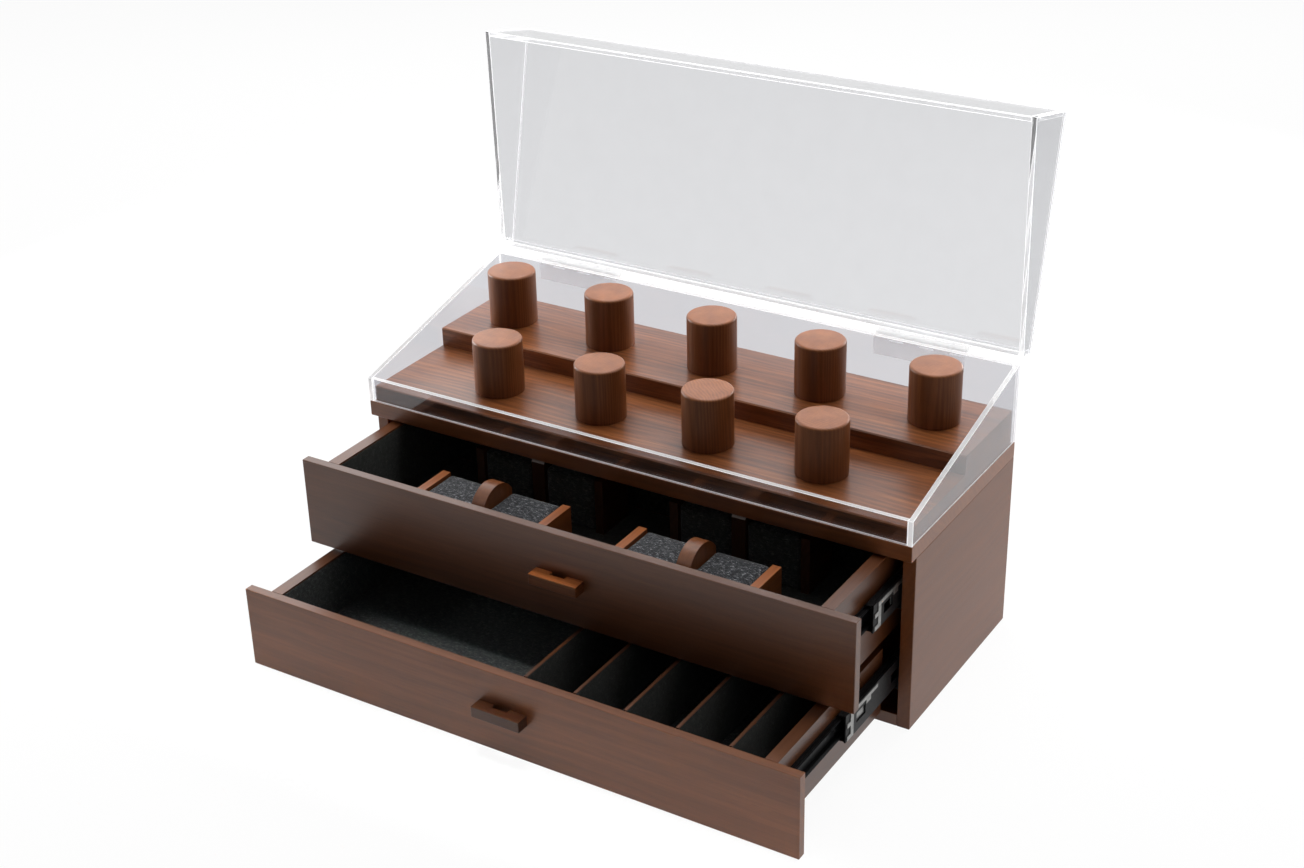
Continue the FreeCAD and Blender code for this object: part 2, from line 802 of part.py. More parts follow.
def make_rests():
    """Four eyewear rests: wooden end cheeks, a rounded nose bridge and two felt pads each."""
    shift = ("0", "-upper_open", "0")
    top = "rest_bottom + rest_height"
    cheeks = new_body("rest_cheeks", shift)
    bridges = new_body("rest_nose_bridges", shift)
    pads = new_body("rest_felt_pads", shift)
    pad_width = "(rest_width - 2 * cheek_thickness - bridge_thickness - 4 * pad_gap) / 2"
    for left, front in rest_origins():
        depth = (front, f"{front} + rest_depth")
        for start in (left, f"{left} + rest_width - cheek_thickness"):
            pad(cheeks, "XY", rectangle((start, f"{start} + cheek_thickness"), depth), ("rest_bottom", top))
        pad_starts = (
            f"{left} + cheek_thickness + pad_gap",
            f"{left} + rest_width - cheek_thickness - pad_gap - {pad_width}",
        )
        for start in pad_starts:
            pad(pads, "XY", rectangle((start, f"{start} + {pad_width}"), depth), ("rest_bottom", top))
        add_bridge(bridges, f"({left} + rest_width / 2)", front)
    highest = value(top)
    doc.recompute()
    dress_edges(
        pads,
        pads.Tip,
        "Fillet",
        "pad_rounding",
        lambda box: abs(box.ZMin - highest) < ON_EDGE,
    )


def add_bridge(body, middle, front):
    """Full-height plate with a rounded top, as wide as the rest is deep."""
    rear = f"{front} + rest_depth"
    centre = "rest_bottom + rest_height + bridge_rise - bridge_radius"
    shoulder = f"{centre} + sqrt(bridge_radius ^ 2 - rest_depth ^ 2 / 4)"
    corners = [(front, "rest_bottom"), (rear, "rest_bottom"), (rear, shoulder), (front, shoulder)]
    span = (f"{middle} - bridge_thickness / 2", f"{middle} + bridge_thickness / 2")
    pad(body, "YZ", corners, span, {2: "bridge_radius"})


# Ball-bearing slides: sections use the distance from the cabinet side and the height

LIP_ANGLE = 15  # how far the cabinet member's lip wraps down past the ball's side
GROOVE_ANGLE = 200  # where the grooves of the other members start
STEP_ANGLE = 340  # height on the inner ball at which the drawer member steps to its face
BALL_LATITUDES = (-67.5, -22.5, 22.5, 67.5)  # rings of a ball's flat sides


def slide_sections():
    """Upper halves of the sections of the three members and the two cages of a slide."""
    sheet = value("slide_sheet")
    half = value("slide_height / 2")
    race = value("ball_radius + race_clearance")
    back = race + sheet
    play = value("slide_play")
    outer = (value("outer_race"), half - back)
    inner = (value("inner_race"), value("inner_race_height"))
    reach = value("slide_thickness")

    # The middle member's flange crosses from under the outer balls to over the inner ones,
    # on the line that touches both grooves
    across = inner[0] - outer[0]
    drop = outer[1] - inner[1]
    turn = math.degrees(math.acos((race + back) / math.hypot(across, drop)))
    under = 360 - math.degrees(math.atan2(drop, across)) - turn
    over = under - 180

    web_start = value("middle_web")
    web_end = web_start + sheet
    web_angle = 180 + math.degrees(math.acos((outer[0] - web_end) / back))
    groove_start = polar(outer, race, GROOVE_ANGLE)
    middle = [
        (web_start, 0),
        (web_start, groove_start[1]),
        (outer, race, GROOVE_ANGLE, under),
        (inner, back, over, LIP_ANGLE),
        (inner, race, LIP_ANGLE, over),
        (outer, back, under, web_angle),
        (web_end, 0),
    ]
    cabinet = [
        (0, 0),
        (0, half),
        (outer, back, 90, LIP_ANGLE),
        (outer, race, LIP_ANGLE, 90),
        (sheet, half - sheet),
        (sheet, 0),
    ]
    step_height = polar(inner, race, STEP_ANGLE)[1]
    drawer = [
        (reach - sheet, 0),
        (reach - sheet, inner[1] - back),
        (inner, back, 270, GROOVE_ANGLE),
        (inner, race, GROOVE_ANGLE, 270),
        (reach - sheet, inner[1] - race),
        (reach - sheet, step_height),
        (reach, step_height),
        (reach, 0),
    ]
    inner_web = web_end + play
    sections = {
        "cabinet": cabinet,
        "middle": middle,
        "drawer": drawer,
        "outer_cage": cage_section(sheet + play, outer),
        "inner_cage": cage_section(inner_web, inner),
    }
    return sections, outer, inner


def cage_section(web, ball):
    """Upper half of a cage: a web with a flange out to just past the ball row."""
    cage = value("cage_sheet")
    top = ball[1] + cage / 2
    rim = ball[0] + value("cage_rim")
    return [(web, 0), (web, top), (rim, top), (rim, top - cage), (web + cage, top - cage), (web + cage, 0)]


def slide_lift(side, drawer, y):
    """Map from a slide's section to space, for one side of a drawer."""
    wall = value("bay_half")
    height = value(slide_height_of(drawer))
    return lambda depth, rise: FreeCAD.Vector(side * (wall - depth), y, height + rise)


def channel(section, side, drawer, start, end):
    """A slide member or cage: its section drawn out along Y."""
    face = section_face(both_halves(section), slide_lift(side, drawer, start))
    return face.extrude(FreeCAD.Vector(0, end - start, 0))


def web_plate(corners, side, drawer, near, far):
    """Plate between two depths, its corners given by length behind the slide's end and height."""
    start = value("slide_front")
    points = [slide_lift(side, drawer, start + along)(near, rise) for along, rise in corners]
    face = Part.Face(Part.makePolygon(points + points[:1]))
    return face.extrude(FreeCAD.Vector(side * (near - far), 0, 0))


def web_windows(side, drawer):
    """Cutters for the windows in the web of a middle member."""
    near = value("middle_web - slide_play")
    far = value("middle_web + slide_sheet + slide_play")
    half = value("window_height / 2")
    cutters = []
    for index in range(int(value("window_count"))):
        front = value("window_start") + index * value("window_pitch")
        corners = rectangle((front, front + value("window_length")), (-half, half))
        cutters.append(web_plate(corners, side, drawer, near, far))
    return cutters


def make_catch(side, drawer):
    """Bright catch on a middle member: a strip, an upright arm, a hook, a foot and a tab."""
    top = value("catch_height / 2")
    under = value("catch_height / 2 - catch_strip")
    tooth = value("catch_tooth")
    tip = value("catch_setback")
    front = value("catch_setback + catch_hook")
    back = value("catch_setback + catch_hook + catch_arm")
    end = value("catch_setback + catch_length")
    tab = back + value("catch_tab_start")
    tab_end = tab + value("catch_tab")
    corners = [(front, top), (end, top), (end, under), (tab_end, under)]
    corners += [(tab_end, under - tooth), (tab, under - tooth), (tab, under), (back, under)]
    corners += [(back, -top), (tip, -top), (tip, tooth - top), (front, tooth - top)]
    corners += [(front, 0), (tip, 0), (tip, tooth), (front, tooth)]
    return web_plate(corners, side, drawer, value("middle_web - catch_sheet"), value("middle_web"))


def ball_centres(ball, side, drawer, start, end):
    """Centres of the balls in the upper and lower row of a cage."""
    count = int(value("balls_per_row"))
    margin = value("pocket_margin")
    step = (end - start - 2 * margin) / (count - 1)
    lift = slide_lift(side, drawer, 0)
    return [
        lift(ball[0], sign * ball[1]) + FreeCAD.Vector(0, start + margin + index * step, 0)
        for sign in (1, -1)
        for index in range(count)
    ]


def ring(centre, radius, height):
    """Regular polygon about a ball's upright axis, its corners on the circle."""
    count = int(value("ball_sides"))
    middle = centre + FreeCAD.Vector(0, 0, height)
    corners = []
    for index in range(count):
        angle = 2 * math.pi * index / count
        corners.append(middle + FreeCAD.Vector(math.cos(angle), math.sin(angle), 0) * radius)
    return Part.makePolygon(corners + corners[:1])


def make_ball(centre):
    """Ball with flat sides, its rings at even steps of latitude."""
    radius = value("ball_radius")
    rings = []
    for latitude in BALL_LATITUDES:
        angle = math.radians(latitude)
        rings.append(ring(centre, radius * math.cos(angle), radius * math.sin(angle)))
    return Part.makeLoft(rings, True, True)


def pocket_cutter(centre):
    """Cutter for the pocket that holds a ball in its cage."""
    cage = value("cage_sheet")
    outline = ring(centre, value("ball_radius + race_clearance"), -cage)
    return Part.Face(outline).extrude(FreeCAD.Vector(0, 0, 2 * cage))


def make_slides(drawer):
    """Both slides of a drawer, each member and cage set where the open drawer carries it."""
    sections, outer, inner = slide_sections()
    start = value("slide_front")
    end = value("slide_rear")
    opened = value(f"{drawer}_open")
    middles = []
    catches = []
    cages = {"outer": [], "inner": []}
    for name, side in SIDES.items():
        cabinet = channel(sections["cabinet"], side, drawer, start, end)
        add_piece(f"{drawer}_{name}_slide_cabinet_member", [cabinet])
        member = channel(sections["drawer"], side, drawer, start, end)
        add_piece(f"{drawer}_{name}_slide_drawer_member", [member], moved_back(-opened))
        middle = channel(sections["middle"], side, drawer, start, end)
        middles.append(middle.cut(web_windows(side, drawer)))
        catches.append(make_catch(side, drawer))
        middle_y = (start + end) / 2
        half = value("cage_length / 2")
        for key, ball in (("outer", outer), ("inner", inner)):
            span = (middle_y - half, middle_y + half)
            strip = channel(sections[key + "_cage"], side, drawer, *span)
            centres = ball_centres(ball, side, drawer, *span)
            strip = strip.cut([pocket_cutter(centre) for centre in centres])
            cages[key] += [strip] + [make_ball(centre) for centre in centres]
    add_piece(f"{drawer}_slide_middle_members", middles, moved_back(-opened / 2))
    add_piece(f"{drawer}_slide_catches", catches, moved_back(-opened / 2))
    add_piece(f"{drawer}_slide_outer_ball_cages", cages["outer"], moved_back(-opened / 4))
    add_piece(f"{drawer}_slide_inner_ball_cages", cages["inner"], moved_back(-opened * 3 / 4))


def check_and_write():
    """Stop at any failed object or bad solid, then write one file for each piece."""
    doc.recompute()
    for item in doc.Objects:
        if any(word in state for state in item.State for word in ("Invalid", "Error")):
            raise ValueError(f"{item.Label} failed: {item.State}")
    os.makedirs("parts", exist_ok=True)
    for piece in parts:
        shape = piece.Shape
        if shape.isNull() or not shape.isValid() or not shape.Solids:
            raise ValueError(f"{piece.Label} has no valid shape")
        shape.exportStep(f"parts/{piece.Label}.step")
        print(piece.Label, len(shape.Solids), round(shape.Volume / 1000, 2), "cm3")
    print(len(parts), "pieces")


make_cabinet()
make_tiers()
make_pegs("rear", "upper_tier_top")
make_pegs("front", "lower_tier_top")
make_cover()
make_lid()
make_hinges()
for drawer_name in ("upper", "lower"):
    make_drawer_box(drawer_name)
    make_slides(drawer_name)
make_dividers()
make_rests()
check_and_write()
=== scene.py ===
"""Looks of the watch display case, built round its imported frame. Units are metres."""
import json
import math

import bmesh
import bpy
from mathutils import Matrix, Vector, noise


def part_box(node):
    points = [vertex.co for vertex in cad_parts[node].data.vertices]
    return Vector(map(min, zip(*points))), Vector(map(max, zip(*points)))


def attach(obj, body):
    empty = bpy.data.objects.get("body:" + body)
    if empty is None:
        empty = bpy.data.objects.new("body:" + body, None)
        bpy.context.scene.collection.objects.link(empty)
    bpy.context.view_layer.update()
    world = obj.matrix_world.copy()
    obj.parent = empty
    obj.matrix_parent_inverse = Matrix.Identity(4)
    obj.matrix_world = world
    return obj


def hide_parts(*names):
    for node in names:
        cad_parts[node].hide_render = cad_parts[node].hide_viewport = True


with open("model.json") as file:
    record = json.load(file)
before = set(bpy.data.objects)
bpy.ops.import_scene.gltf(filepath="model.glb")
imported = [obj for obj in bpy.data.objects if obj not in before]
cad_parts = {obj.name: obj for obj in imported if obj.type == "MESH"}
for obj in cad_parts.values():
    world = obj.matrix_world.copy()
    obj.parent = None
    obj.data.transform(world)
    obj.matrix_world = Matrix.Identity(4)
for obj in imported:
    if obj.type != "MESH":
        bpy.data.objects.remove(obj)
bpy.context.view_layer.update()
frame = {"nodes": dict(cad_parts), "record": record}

MM = 0.001
SAME_PLACE = 1e-6  # corners nearer to each other than this are one corner

nodes = frame["nodes"]
body_of = {
    node: body
    for body, members in frame["record"]["behaviour"]["bodies"].items()
    for node in members
}


# Materials


class Tree:
    """The node tree of a material or a world, with short calls for adding and joining nodes."""

    def __init__(self, owner):
        self.owner = owner
        owner.use_nodes = True
        self.tree = owner.node_tree
        self.tree.nodes.clear()

    def add(self, kind, inputs=None, **settings):
        made = self.tree.nodes.new("ShaderNode" + kind)
        for key, setting in settings.items():
            setattr(made, key, setting)
        for key, source in (inputs or {}).items():
            if isinstance(source, bpy.types.NodeSocket):
                self.tree.links.new(source, made.inputs[key])
            else:
                made.inputs[key].default_value = source
        return made

    def place(self):
        """The point in the rest pose, the same from every camera."""
        return self.add("TexCoord").outputs["Object"]

    def upright(self):
        """How far the surface faces up: 1 on top and 0 on a side."""
        normal = self.add("TexCoord").outputs["Normal"]
        return self.add("SeparateXYZ", {0: normal}).outputs["Z"]

    def math(self, operation, first, second=0.0, third=0.0):
        made = self.add("Math", {0: first, 1: second, 2: third}, operation=operation)
        return made.outputs[0]

    def vector(self, operation, first, second):
        return self.add("VectorMath", {0: first, 1: second}, operation=operation).outputs[0]

    def times(self, colour, factor):
        made = self.add("VectorMath", {0: colour, "Scale": factor}, operation="SCALE")
        return made.outputs[0]

    def noise(self, vector, scale, detail=2.0, roughness=0.5, distortion=0.0):
        inputs = {
            "Vector": vector,
            "Scale": scale,
            "Detail": detail,
            "Roughness": roughness,
            "Distortion": distortion,
        }
        return self.add("TexNoise", inputs).outputs["Fac"]

    def wave(self, vector, scale, distortion, detail_scale, **settings):
        inputs = {
            "Vector": vector,
            "Scale": scale,
            "Distortion": distortion,
            "Detail": 2.0,
            "Detail Scale": detail_scale,
        }
        return self.add("TexWave", inputs, **settings).outputs["Fac"]

    def span(self, source, low, high, to_low=0.0, to_high=1.0, **settings):
        inputs = {
            "Value": source,
            "From Min": low,
            "From Max": high,
            "To Min": to_low,
            "To Max": to_high,
        }
        return self.add("MapRange", inputs, **settings).outputs["Result"]

    def ramp(self, source, stops):
        made = self.add("ValToRGB", {"Fac": source})
        elements = made.color_ramp.elements
        while len(elements) < len(stops):
            elements.new(0.5)
        for element, (place, colour) in zip(elements, stops):
            element.position = place
            element.color = (*colour, 1.0)
        return made.outputs["Color"]

    def colour_mix(self, factor, first, second):
        made = self.add("Mix", {0: factor, 6: first, 7: (*second, 1.0)}, data_type="RGBA")
        return made.outputs[2]

    def shader_mix(self, factor, first, second):
        """Two shaders mixed: the second one shows where the factor is 1."""
        return self.add("MixShader", {0: factor, 1: first.outputs[0], 2: second.outputs[0]})

    def bump(self, height, strength, distance):
        made = self.add("Bump", {"Height": height, "Strength": strength, "Distance": distance})
        return made.outputs["Normal"]

    def seen(self):
        """1 for rays that show the surroundings: from the camera, through glass or off a gloss."""
        path = self.add("LightPath").outputs
        straight = self.math("MAXIMUM", path["Is Camera Ray"], path["Is Transmission Ray"])
        return self.math("MAXIMUM", straight, path["Is Glossy Ray"])

    def finish(self, shader):
        self.add("OutputMaterial", {"Surface": shader.outputs[0]})
        return self.owner


def new_tree(name):
    return Tree(bpy.data.materials.new(name))


def scaled(colour, factor):
    return tuple(part * factor for part in colour)


GRAIN_TURN = {"X": (0, 0, 0), "Y": (0, 0, -math.pi / 2), "Z": (0, math.pi / 2, 0)}
WALNUT = (
    (0.0, (0.075, 0.021, 0.0055)),
    (0.45, (0.155, 0.047, 0.0125)),
    (0.75, (0.215, 0.069, 0.0190)),
    (1.0, (0.290, 0.098, 0.0290)),
)
WALNUT_PORE = (0.03, 0.009, 0.003)
TURNED_WALNUT = (
    (0.0, (0.175, 0.054, 0.0140)),
    (0.5, (0.235, 0.074, 0.0200)),
    (1.0, (0.310, 0.101, 0.0290)),
)
REAR_SHADE_DEPTHS = (-0.14, -0.10)  # between these depths the painted shadow on the rear row of rests sets in


def wood(name, grain, offset, contrast, stain_and_shade=1.0, gloss=0.5, painted_top_light=1.0, painted_rear_shade=1.0):
    """Stained walnut with bands, rings, streaks, fibres and pores along one axis.

    The colour is scaled by the stain factor, which on some boards also paints shade or light over
    the whole board. A factor on faces that face up paints light or shade there, and a factor in the
    rear row of rests paints a shadow.
    """
    t = new_tree(name)
    mapping = {
        "Vector": t.place(),
        "Rotation": GRAIN_TURN[grain],
        "Location": (offset * 0.37, offset * 0.61, offset * 0.23),
    }
    place = t.add("Mapping", mapping).outputs["Vector"]

    def drawn_out(share):
        """The point with its distance along the grain shortened, so that patterns run long."""
        return t.vector("MULTIPLY", place, (share, 1.0, 1.0))

    sway = t.math("MULTIPLY", t.noise(drawn_out(0.25), 16.0), 0.02)
    offset_across = t.add("CombineXYZ", {"Y": sway, "Z": sway}).outputs[0]
    swaying = t.vector("ADD", drawn_out(0.08), offset_across)
    bands = t.noise(swaying, 34.0, 3.0, 0.55)
    heart = t.vector("ADD", swaying, (0.0, 0.13, 0.09))
    rings = t.wave(heart, 48.0, 7.0, 0.7, wave_type="RINGS", rings_direction="X")
    streaks = t.noise(drawn_out(0.03), 330.0, 3.0, 0.6)
    fibres = t.noise(drawn_out(0.02), 1700.0, 2.0, 0.6)
    pores = t.span(t.noise(drawn_out(0.06), 1500.0, 1.0, 0.5), 0.66, 0.74)

    tone = t.math("MULTIPLY_ADD", bands, 0.38, t.math("MULTIPLY", rings, 0.07))
    tone = t.math("MULTIPLY_ADD", streaks, 0.33, tone)
    tone = t.math("MULTIPLY_ADD", fibres, 0.22, tone)
    tone = t.span(tone, 0.5 - 0.17 / contrast, 0.5 + 0.17 / contrast)
    colour = t.ramp(tone, [(stop, scaled(shade, stain_and_shade)) for stop, shade in WALNUT])
    pore_share = t.math("MULTIPLY", pores, 0.5 * contrast)
    colour = t.colour_mix(pore_share, colour, scaled(WALNUT_PORE, stain_and_shade))
    # Faces that face up are made lighter on some boards (painted light) and darker on others
    # (painted shade).
    if painted_top_light != 1.0:
        colour = t.times(colour, t.span(t.upright(), 0.5, 0.9, 1.0, painted_top_light))
    # The rear row of rests is darkened towards the back: a painted shadow.
    if painted_rear_shade != 1.0:
        depth = t.add("SeparateXYZ", {0: t.place()}).outputs["Y"]
        colour = t.times(colour, t.span(depth, *REAR_SHADE_DEPTHS, 1.0, painted_rear_shade))
    relief = t.math("SUBTRACT", t.math("MULTIPLY", fibres, 0.5), pores)
    inputs = {
        "Base Color": colour,
        "Roughness": t.math("MULTIPLY_ADD", streaks, 0.12, 0.27),
        "Specular IOR Level": gloss,
        "Normal": t.bump(relief, 0.12, 0.0003),
    }
    return t.finish(t.add("BsdfPrincipled", inputs))


def turned_wood(name, offset, cut):
    """Turned walnut standing on end: cut marks on top and straight lines down the sides, with
    painted light on the tops and painted shade on the sides.
    """
    t = new_tree(name)
    place = t.vector("ADD", t.place(), (offset * 0.31, offset * 0.17, offset * 0.07))
    upright_lines = t.vector("MULTIPLY", place, (1.0, 1.0, 0.05))
    sway = t.math("MULTIPLY", t.noise(upright_lines, 30.0), 0.012)
    bent = t.vector("ADD", upright_lines, t.add("CombineXYZ", {"X": sway, "Y": sway}).outputs[0])
    rings = t.wave(bent, 130.0, 3.0, 1.0, wave_type="BANDS", bands_direction=cut)
    bands = t.noise(bent, 60.0, 3.0, 0.55)
    fibres = t.noise(t.vector("MULTIPLY", place, (1.0, 1.0, 0.03)), 1500.0, 2.0, 0.6)
    tone = t.math("MULTIPLY_ADD", bands, 0.5, t.math("MULTIPLY", rings, 0.14))
    tone = t.math("MULTIPLY_ADD", fibres, 0.36, tone)
    colour = t.ramp(t.span(tone, 0.36, 0.66), TURNED_WALNUT)
    upright = t.upright()
    # The colour is raised on the tops (painted light) and lowered on the sides (painted shade).
    inputs = {
        "Base Color": t.times(colour, t.span(upright, 0.35, 0.95, 0.68, 1.12)),
        "Roughness": t.math("MULTIPLY_ADD", fibres, 0.12, 0.36),
        "Specular IOR Level": t.span(upright, 0.35, 0.95, 0.2, 0.45),
        "Normal": t.bump(fibres, 0.10, 0.0003),
    }
    return t.finish(t.add("BsdfPrincipled", inputs))


def felt(name, dark, middle, pale, fleck):
    """Pressed felt: matted fibres in several directions, pale flecks and a short nap."""
    t = new_tree(name)
    place = t.place()
    layers = []
    for index, angle in enumerate((0.3, 1.25, 2.2)):
        mapping = {
            "Vector": place,
            "Rotation": (0.2 * index, 0.3, angle),
            "Scale": (0.35, 1.6, 1.2),
        }
        turned = t.add("Mapping", mapping).outputs["Vector"]
        layers.append(t.noise(turned, 640.0 + 110.0 * index, 3.0, 0.75, 0.6))
    tangle = t.math("MAXIMUM", t.math("MAXIMUM", layers[0], layers[1]), layers[2])
    blotch = t.math("MULTIPLY", t.noise(place, 260.0, 3.0, 0.6), 0.25)
    tone = t.math("MULTIPLY_ADD", tangle, 0.8, blotch)
    stops = [(0.0, dark), (0.42, middle), (0.72, pale), (1.0, fleck)]
    inputs = {
        "Base Color": t.ramp(t.span(tone, 0.535, 0.685), stops),
        "Roughness": 0.95,
        "Specular IOR Level": 0.2,
        "Sheen Weight": 0.12,
        "Sheen Roughness": 0.5,
        "Normal": t.bump(tone, 0.6, 0.0006),
    }
    return t.finish(t.add("BsdfPrincipled", inputs))


ACRYLIC_IOR = 1.49
SOFT_LIGHT_PASSED = (0.96, 0.96, 0.965, 1.0)


def clear(name, tint):
    """Clear sheet that lets lamps and soft light straight through to what it covers."""
    t = new_tree(name)
    haze = t.noise(t.place(), 40.0, 4.0, 0.6)
    paler = tuple(min(1.0, part * 1.02) for part in tint)
    inputs = {
        "Base Color": t.ramp(haze, [(0.3, tint), (0.7, paler)]),
        "Roughness": 0.0,
        "IOR": ACRYLIC_IOR,
        "Transmission Weight": 1.0,
    }
    glass = t.add("BsdfPrincipled", inputs)
    through = t.add("BsdfTransparent", {"Color": SOFT_LIGHT_PASSED})
    path = t.add("LightPath").outputs
    soft_light = t.math("MAXIMUM", path["Is Shadow Ray"], path["Is Diffuse Ray"])
    return t.finish(t.shader_mix(soft_light, glass, through))


def sawn_edge(name, see_through, painted_glow=0.0):
    """Flame-polished edge of clear sheet, with an emission that paints the glow of the light that
    the sheet gathers.
    """
    t = new_tree(name)
    marks = t.noise(t.place(), 900.0, 3.0, 0.6)
    white = t.ramp(marks, [(0.3, (0.88, 0.89, 0.90)), (0.7, (0.96, 0.96, 0.97))])
    inputs = {
        "Base Color": white,
        "Roughness": 0.22,
        "IOR": ACRYLIC_IOR,
        "Normal": t.bump(marks, 0.08, 0.0003),
    }
    face = t.add("BsdfPrincipled", inputs)
    lit = t.shader_mix(0.4, face, t.add("BsdfTranslucent", {"Color": white}))
    # Emission on the edge: a painted glow.
    if painted_glow:
        painted_glow_shader = t.add("Emission", {"Color": white, "Strength": painted_glow})
        lit = t.add("AddShader", {0: lit.outputs[0], 1: painted_glow_shader.outputs[0]})
    through = t.add("BsdfTransparent", {"Color": (1.0, 1.0, 1.0, 1.0)})
    return t.finish(t.shader_mix(see_through, lit, through))


def black_steel(name):
    """Black coated steel with faint unevenness."""
    t = new_tree(name)
    uneven = t.noise(t.place(), 380.0, 3.0, 0.6)
    stops = [(0.3, (0.005, 0.005, 0.0055)), (0.7, (0.010, 0.010, 0.011))]
    inputs = {
        "Base Color": t.ramp(uneven, stops),
        "Roughness": t.span(uneven, 0.3, 0.7, 0.30, 0.42),
        "Specular IOR Level": 0.08,
        "Normal": t.bump(uneven, 0.05, 0.0002),
    }
    return t.finish(t.add("BsdfPrincipled", inputs))


def plated_steel(name):
    """Zinc-plated steel, drawn along the slide."""
    t = new_tree(name)
    place = t.place()
    drawn = t.noise(t.vector("MULTIPLY", place, (1.0, 0.03, 1.0)), 2500.0, 2.0, 0.6)
    patch = t.math("MULTIPLY", t.noise(place, 220.0), 0.4)
    tone = t.math("MULTIPLY_ADD", drawn, 0.6, patch)
    stops = [(0.3, (0.12, 0.12, 0.116)), (0.7, (0.40, 0.40, 0.388))]
    inputs = {
        "Base Color": t.ramp(tone, stops),
        "Roughness": t.span(tone, 0.3, 0.7, 0.28, 0.42),
        "Metallic": 1.0,
        "Normal": t.bump(drawn, 0.05, 0.0002),
    }
    return t.finish(t.add("BsdfPrincipled", inputs))


def dress(name, material):
    """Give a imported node's own object this material."""
    slots = nodes[name].data.materials
    slots.clear()
    slots.append(material)


BLACK_STEEL = black_steel("black_steel")
PLATED = plated_steel("plated_steel")
BLACK_FELT = felt(
    "black_felt",
    dark=(0.028, 0.031, 0.028),
    middle=(0.040, 0.044, 0.040),
    pale=(0.055, 0.060, 0.055),
    fleck=(0.12, 0.128, 0.12),
)
CHARCOAL_FELT = felt(
    "charcoal_felt",
    dark=(0.060, 0.066, 0.066),
    middle=(0.090, 0.100, 0.100),
    pale=(0.135, 0.147, 0.148),
    fleck=(0.26, 0.27, 0.27),
)
GREY_FELT = felt(
    "grey_felt",
    dark=(0.014, 0.015, 0.017),
    middle=(0.040, 0.042, 0.047),
    pale=(0.115, 0.118, 0.128),
    fleck=(0.48, 0.485, 0.495),
)
CLEAR = clear("clear_acrylic", (0.655, 0.655, 0.685))
# The lid is the same acrylic as the cover in a lighter tint: a painted reflection of the bright
# studio, which the lid shows more than the cover.
LID_CLEAR = clear("lid_acrylic", (0.685, 0.688, 0.704))
# The hinge and the sheet edges carry a faint painted glow, and the bevelled edge lines a stronger
# one.
HINGE_CLEAR = sawn_edge("clear_hinge", see_through=0.72, painted_glow=0.1)
EDGE = sawn_edge("clear_edge", see_through=0.25, painted_glow=0.1)
LID_EDGE = sawn_edge("lid_edge", see_through=0.65)
EDGE_LINE = sawn_edge("clear_edge_line", see_through=0.05, painted_glow=0.42)

# Each board's grain, where in the timber it was cut, and how its figure and stain show.
# Some stain factors, the factors on upward faces and the rear-row factors paint light and shade, as
# marked.
BOARDS = {
    "top_board": dict(grain="X", offset=1.0, contrast=0.5, stain_and_shade=1.4),
    "bottom_panel": dict(grain="X", offset=2.3, contrast=0.35),
    "left_side_panel": dict(grain="Y", offset=3.1, contrast=0.3, stain_and_shade=1.02, gloss=0.34),
    "right_side_panel": dict(grain="Y", offset=4.7, contrast=0.3, stain_and_shade=1.02, gloss=0.34),
    "back_panel": dict(grain="X", offset=5.2, contrast=0.4),
    "lower_tier": dict(grain="X", offset=6.9, contrast=1.4),
    "upper_tier": dict(grain="X", offset=8.4, contrast=1.4),
    # Rest cheeks: the raised stain and brighter tops are painted light, and the rear row's
    # darkening is a painted shadow.
    "rest_cheeks": dict(grain="Y", offset=9.1, contrast=0.6, stain_and_shade=1.25, painted_top_light=1.45, painted_rear_shade=0.45),
    # Nose bridges: the rear row's darkening is a painted shadow.
    "rest_nose_bridges": dict(grain="Z", offset=9.7, contrast=0.5, painted_rear_shade=0.45),
    # Dividers: the lowered stain is painted shade.
    "lower_drawer_dividers": dict(grain="Y", offset=10.3, contrast=0.5, stain_and_shade=0.5),
    # Upper handle: its much brighter top is painted light.
    "upper_drawer_handle": dict(
        grain="X", offset=11.2, contrast=0.8, stain_and_shade=0.8, gloss=0.25, painted_top_light=2.9
    ),
    # Lower handle: the lowered stain is painted shade.
    "lower_drawer_handle": dict(grain="X", offset=12.4, contrast=0.6, stain_and_shade=0.28, gloss=0.35),
    # Fronts: the darker top edges are painted shade, and so is the upper front's lowered stain.
    "upper_drawer_front": dict(grain="X", offset=14.0, contrast=0.5, stain_and_shade=0.72, painted_top_light=0.75),
    "lower_drawer_front": dict(grain="X", offset=21.0, contrast=0.5, painted_top_light=0.65),
}
# Board of a drawer, grain, offset from that of the drawer's front, contrast and stain
DRAWER_BOARDS = (
    ("left_side", "Y", 1.3, 0.4, 0.7),
    ("right_side", "Y", 2.1, 0.4, 0.62),
    ("back", "X", 3.6, 0.4, 1.0),
    ("floor", "X", 4.9, 0.5, 1.0),
)
for drawer in ("upper", "lower"):
    start = BOARDS[drawer + "_drawer_front"]["offset"]
    for board, grain, further, contrast, stain_and_shade in DRAWER_BOARDS:
        BOARDS[f"{drawer}_drawer_{board}"] = dict(
            grain=grain, offset=start + further, contrast=contrast, stain_and_shade=stain_and_shade
        )
for name, finish in BOARDS.items():
    dress(name, wood(name + "_wood", **finish))
for name in nodes:
    if "slide" in name and "cages" not in name:
        dress(name, PLATED if "catches" in name else BLACK_STEEL)
    elif "hinge" in name:
        dress(name, HINGE_CLEAR)


# Mesh helpers


